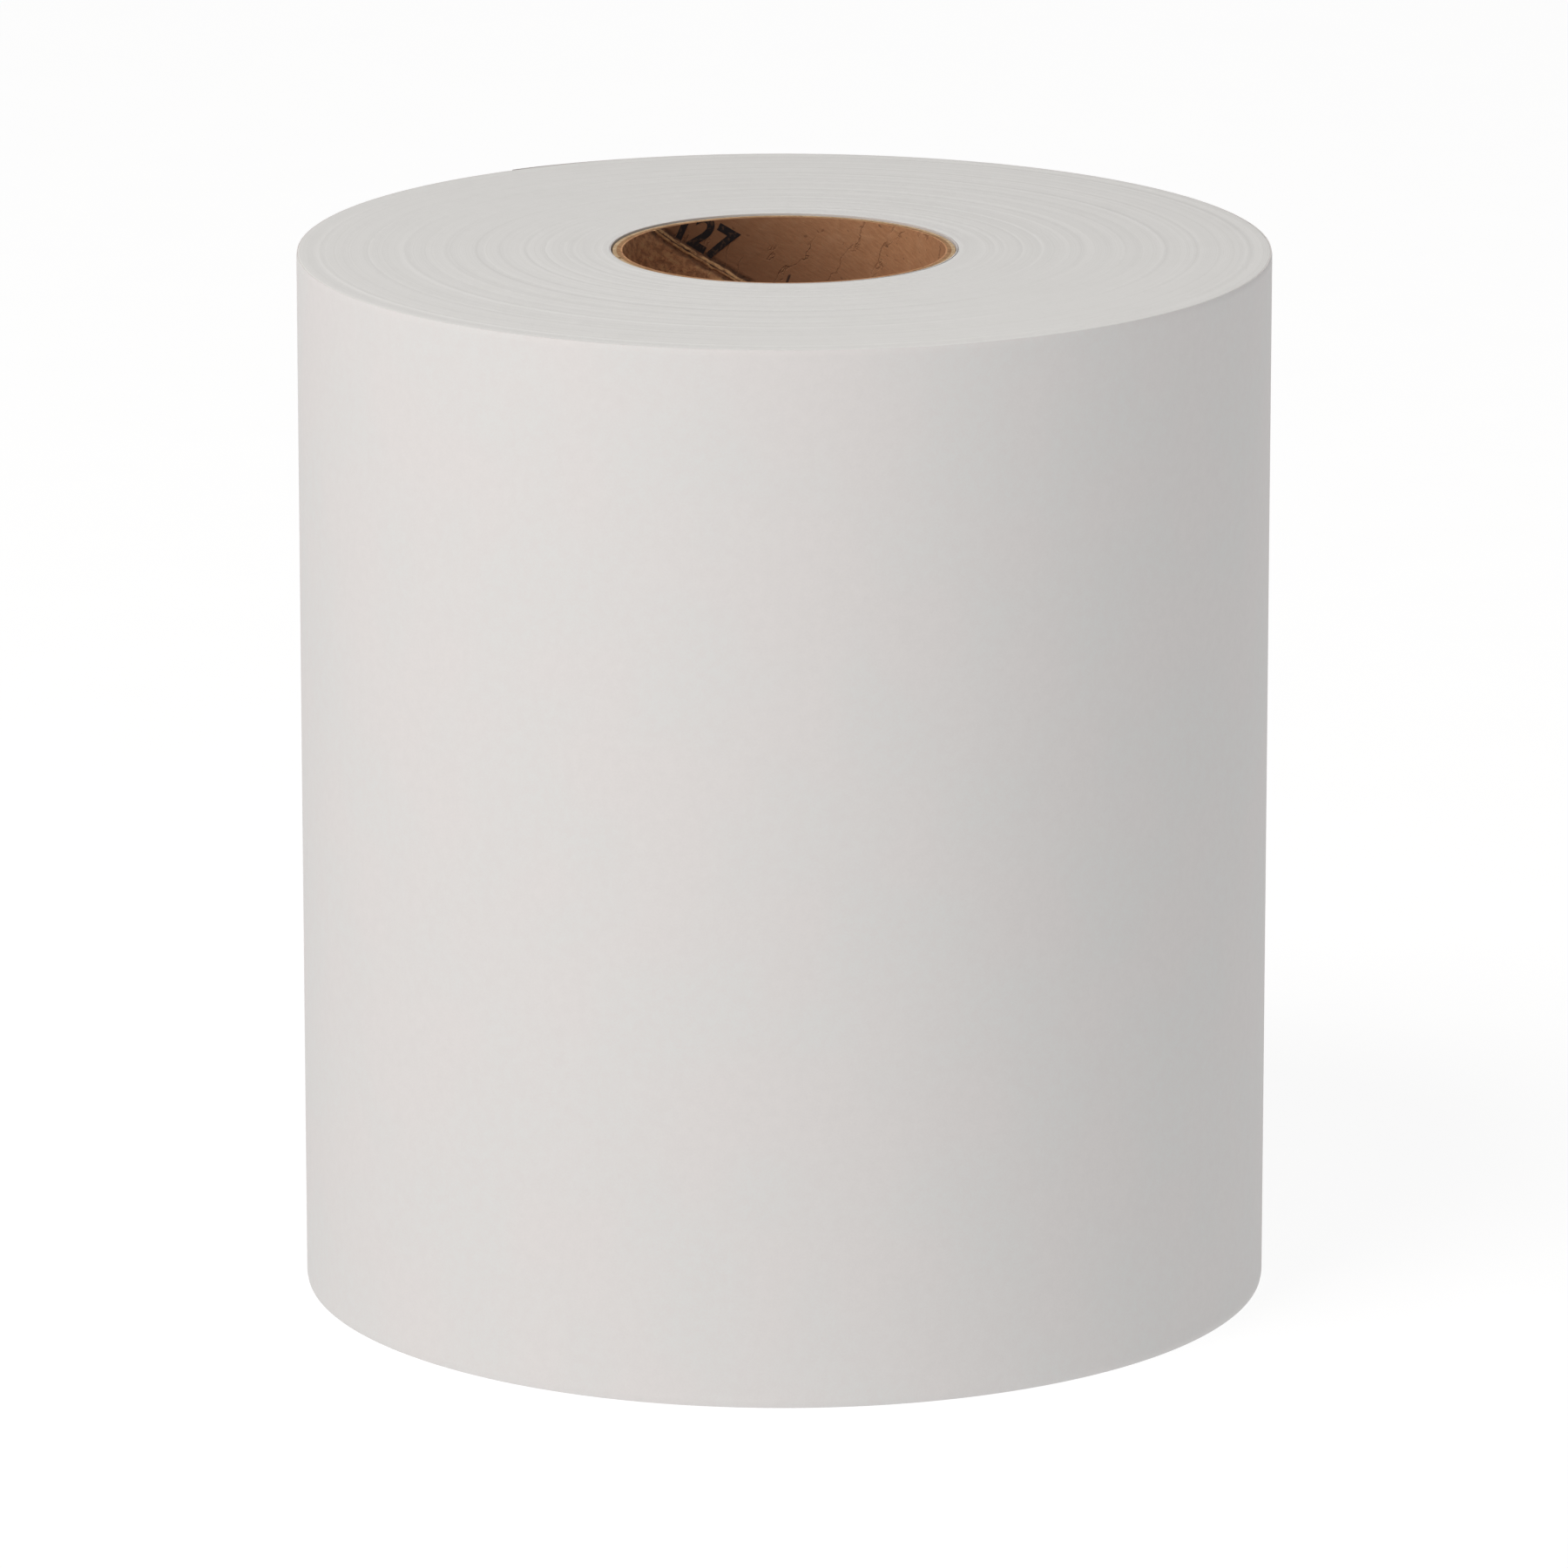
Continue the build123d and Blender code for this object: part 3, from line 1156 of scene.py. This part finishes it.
@dataclass(frozen=True)
class CoreLiner:
    """The core's inner ply: one strip of kraft on a right-hand helix, cut square at both ends."""

    radius: float
    low: float
    high: float
    strip_width: float = 127 * MM
    seam_gap: float = 0.6 * MM
    thickness: float = 0.4 * MM
    seam_exit: float = math.radians(143)
    edge_lift: float = 0.22 * MM
    edge_reach: float = 1.8 * MM
    column_step: float = 2.2 * MM
    rows: int = 72

    @property
    def lead(self) -> float:
        """The helix's angle above the level, which brings the strip's edges together."""
        around = FULL_TURN * (self.radius + self.thickness / 2)
        return math.asin((self.strip_width + self.seam_gap) / around)

    @property
    def length(self) -> float:
        """The strip's length before its ends are cut square."""
        return (self.high - self.low + self.strip_width * math.cos(self.lead)) / math.sin(self.lead)

    def wind(self, along: float, across: float, out: float = 0.0) -> Vector:
        """Puts a point of the flat strip on the core.

        Args:
            along: metres along the strip from where its lower edge meets the core's upper end.
            across: metres across it, upwards from its lower edge.
            out: metres outside the bore's face.

        Returns:
            The point on the core.
        """
        circular = along * math.cos(self.lead) - across * math.sin(self.lead)
        height = self.high + along * math.sin(self.lead) + across * math.cos(self.lead)
        return on_cylinder(self.radius + out, self.seam_exit + circular / self.radius, height)

    def build(self, finish: bpy.types.Material) -> bpy.types.Object:
        """Winds the strip, cuts it square at both ends and thickens it.

        Args:
            finish: the kraft's material.

        Returns:
            The ply.
        """
        piece = flat_grid("core_liner", round(self.length / self.column_step), self.rows, Ends.CLOSE)
        lay(piece, self._place)
        edit(piece, cut_flat(self.high, True), cut_flat(self.low, False))
        thicken(piece, self.thickness, 1.0)
        smooth(piece)
        dress(piece, "core_kraft", finish)
        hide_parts("core_liner_ply")
        return piece

    def _place(self, along: float, across: float) -> Vector:
        """The strip's inner face, which lifts off the core a little along both of its edges.

        Args:
            along: the share of its length.
            across: the share of its width, from its lower edge.

        Returns:
            The point.
        """
        from_edge = across * self.strip_width
        inset = min(from_edge, self.strip_width - from_edge)
        lift = self.edge_lift * ease(inset, self.edge_reach, 0.0)
        start = self.strip_width / math.tan(self.lead) - self.length
        return self.wind(start + along * self.length, from_edge, -lift)


@dataclass(frozen=True)
class CorePrint:
    """A plain number stamped inside the core beside the seam: the strip's width in millimetres."""

    liner: CoreLiner
    gap: str = " " * 18
    repeats: int = 5
    size: float = 11.5 * MM
    boldness: float = 0.40 * MM
    film: float = 0.02 * MM
    above_face: float = 0.03 * MM
    from_seam: float = 1.6 * MM
    along: float = 5.4 * MM
    cuts: int = 2

    @property
    def digits(self) -> str:
        """The number."""
        return f"{self.liner.strip_width / MM:.0f}"

    def build(self, finish: bpy.types.Material) -> bpy.types.Object:
        """Sets the digits flat, makes them a mesh and winds them on to the liner.

        Args:
            finish: the ink's material.

        Returns:
            The print, as a thin film.
        """
        deselect_all()
        bpy.ops.object.text_add()
        text = bpy.context.object
        text.data.body = self.gap.join([self.digits] * self.repeats)
        text.data.size = self.size
        text.data.offset = self.boldness
        bpy.ops.object.convert(target="MESH")
        piece = take_new("core_number")
        edit(piece, bpy.ops.mesh.quads_convert_to_tris,
             lambda: bpy.ops.mesh.subdivide(number_cuts=self.cuts))
        for vertex in piece.data.vertices:
            along = -self.along - vertex.co.x
            across = self.from_seam + vertex.co.y
            vertex.co = self.liner.wind(along, across, -self.above_face)
        edit(piece, cut_flat(self.liner.high, True), cut_flat(self.liner.low, False))
        thicken(piece, self.film, 1.0)
        smooth(piece)
        dress(piece, "core_kraft", finish)
        return piece


# ---------------------------------------------------------------- the studio


@dataclass(frozen=True)
class Studio:
    """A pale floor, a bright horizon, one large soft light and the camera."""

    camera_place: Triple = (0.0, -2.661, 0.798)
    camera_pitch: float = math.radians(14.30)
    lens: float = 264.6
    floor_size: float = 14.0
    floor_drop: float = 0.1 * MM
    floor_light: Colour = (0.14, 0.14, 0.14)
    floor_dark: Colour = (0.12, 0.12, 0.12)
    floor_speckle: float = 40 * MM
    floor_roughness: float = 0.9
    floor_glow: float = 0.90
    sky_colour: Colour = (0.8, 0.8, 0.8)
    horizon_top: float = 0.02
    overhead_start: float = 0.14
    horizon_strength: float = 1.0
    overhead_strength: float = 0.29
    key_azimuth: float = math.radians(-42)
    key_elevation: float = math.radians(58)
    key_distance: float = 3.2
    key_size: float = 1.5
    key_power: float = 69.0
    key_colour: Colour = (1.0, 0.955, 0.925)

    def build(self, centre: Vector) -> None:
        """Builds the whole set.

        Args:
            centre: the middle of the roll, which the light points at.
        """
        self._floor()
        self._sky()
        self._key(centre)
        self._camera()
        bpy.context.scene.view_settings.view_transform = "Standard"

    def _floor(self) -> None:
        """A wide floor that is close to white."""
        deselect_all()
        bpy.ops.mesh.primitive_plane_add(size=self.floor_size, location=(0, 0, -self.floor_drop))
        floor = take_new("floor")
        graph = Graph.of_finish("pale_floor")
        speckle = graph.noise(graph.place(), self.floor_speckle, detail=3.0)
        floor.data.materials.append(graph.surface({
            "Base Color": graph.mix(speckle, self.floor_dark, self.floor_light),
            "Roughness": self.floor_roughness,
            "Emission Color": (1.0, 1.0, 1.0),
            "Emission Strength": self.floor_glow,
        }))

    def _sky(self) -> None:
        """A world that is white at the horizon and darker overhead."""
        world = bpy.data.worlds.new("studio")
        bpy.context.scene.world = world
        graph = Graph(world)
        _, _, up = graph.parts(graph.node("ShaderNodeTexCoord").outputs["Generated"])
        strength = graph.node("ShaderNodeMapRange", {"interpolation_type": "SMOOTHSTEP"}, {
            "Value": up,
            "From Min": self.horizon_top,
            "From Max": self.overhead_start,
            "To Min": self.horizon_strength,
            "To Max": self.overhead_strength,
        }).outputs[0]
        sky = graph.node("ShaderNodeBackground", None, {"Color": self.sky_colour, "Strength": strength})
        graph.node("ShaderNodeOutputWorld", None, {"Surface": sky.outputs[0]})

    def _key(self, centre: Vector) -> None:
        """One large soft light, high on the left and in front.

        Args:
            centre: what it points at.
        """
        level = math.cos(self.key_elevation)
        towards = Vector((math.sin(self.key_azimuth) * level, -math.cos(self.key_azimuth) * level,
                          math.sin(self.key_elevation)))
        data = bpy.data.lights.new("key", "AREA")
        data.shape = "DISK"
        data.size = self.key_size
        data.energy = self.key_power
        data.color = self.key_colour
        lamp = bpy.data.objects.new("key", data)
        lamp.location = centre + towards * self.key_distance
        lamp.rotation_euler = towards.to_track_quat("Z", "Y").to_euler()
        bpy.context.scene.collection.objects.link(lamp)

    def _camera(self) -> None:
        """The camera, level across and pitched down at the roll."""
        data = bpy.data.cameras.new("camera")
        data.lens = self.lens
        camera = bpy.data.objects.new("camera", data)
        camera.location = self.camera_place
        camera.rotation_euler = (math.pi / 2 - self.camera_pitch, 0.0, 0.0)
        bpy.context.scene.collection.objects.link(camera)
        bpy.context.scene.camera = camera


# ---------------------------------------------------------------- the whole roll


def dress_nodes(names: Iterable[str], slot: str, material: bpy.types.Material) -> None:
    """Gives CAD nodes that stay a better material.

    Args:
        names: the nodes.
        slot: the record's material slot that it stands for.
        material: what they get.
    """
    for name in names:
        dress(frame["nodes"][name], slot, material)
        LOG.info("kept %s", name)


def report(pieces: Iterable[bpy.types.Object]) -> None:
    """Logs each finished piece and how many faces it has."""
    for piece in pieces:
        LOG.info("made %s, %d faces", piece.name, len(piece.data.polygons))


def build_roll() -> None:
    """Builds every piece of the roll and hangs the lap, the pack, the liner and the print on the roll's
    body.
    """
    paper = PaperFinish().material()
    edges = EndFinish().material()
    tape = TapeFinish().material()

    web = Web.measured()
    lap = WoundSheet("outer_lap", web, -FULL_TURN, 0.0, ("last_turn",)).build(paper)
    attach(lap, "roll")
    tail = Tail(web).build(paper)
    strip = TailTape(web).build(tape)

    pack = PaperPack(web, radii("wound_paper")[0]).build(paper, edges)
    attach(pack, "roll")

    liner_low, liner_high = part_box("core_liner_ply")
    liner = CoreLiner(radii("core_liner_ply")[0], liner_low.z, liner_high.z)
    kraft = KraftFinish(liner.length, liner.strip_width, liner.high)
    bore = liner.build(kraft.material())
    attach(bore, "roll")
    number = CorePrint(liner).build(InkFinish().material())
    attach(number, "roll")

    brown = BoardFinish("brown_board", light=(0.47, 0.275, 0.140), dark=(0.27, 0.145, 0.070)).material()
    cream = BoardFinish("cream_board", light=(0.66, 0.50, 0.32), dark=(0.44, 0.30, 0.17)).material()
    dress_nodes(["core_body_ply_1", "core_body_ply_2"], "core_board", brown)
    dress_nodes(["core_body_ply_3", "core_cover_ply"], "core_board", cream)
    dress_nodes(["start_tape"], "paper_tape", tape)
    dress_nodes(["first_turn"], "backdrop_paper", paper)
    report([lap, *tail, strip, pack, bore, number])


def main() -> None:
    """Builds the roll and the studio."""
    logging.basicConfig(level=logging.INFO, format="%(name)s: %(message)s")
    build_roll()
    low, high = FRAME_BOX
    Studio().build((low + high) / 2)


if __name__ == "__main__":
    main()
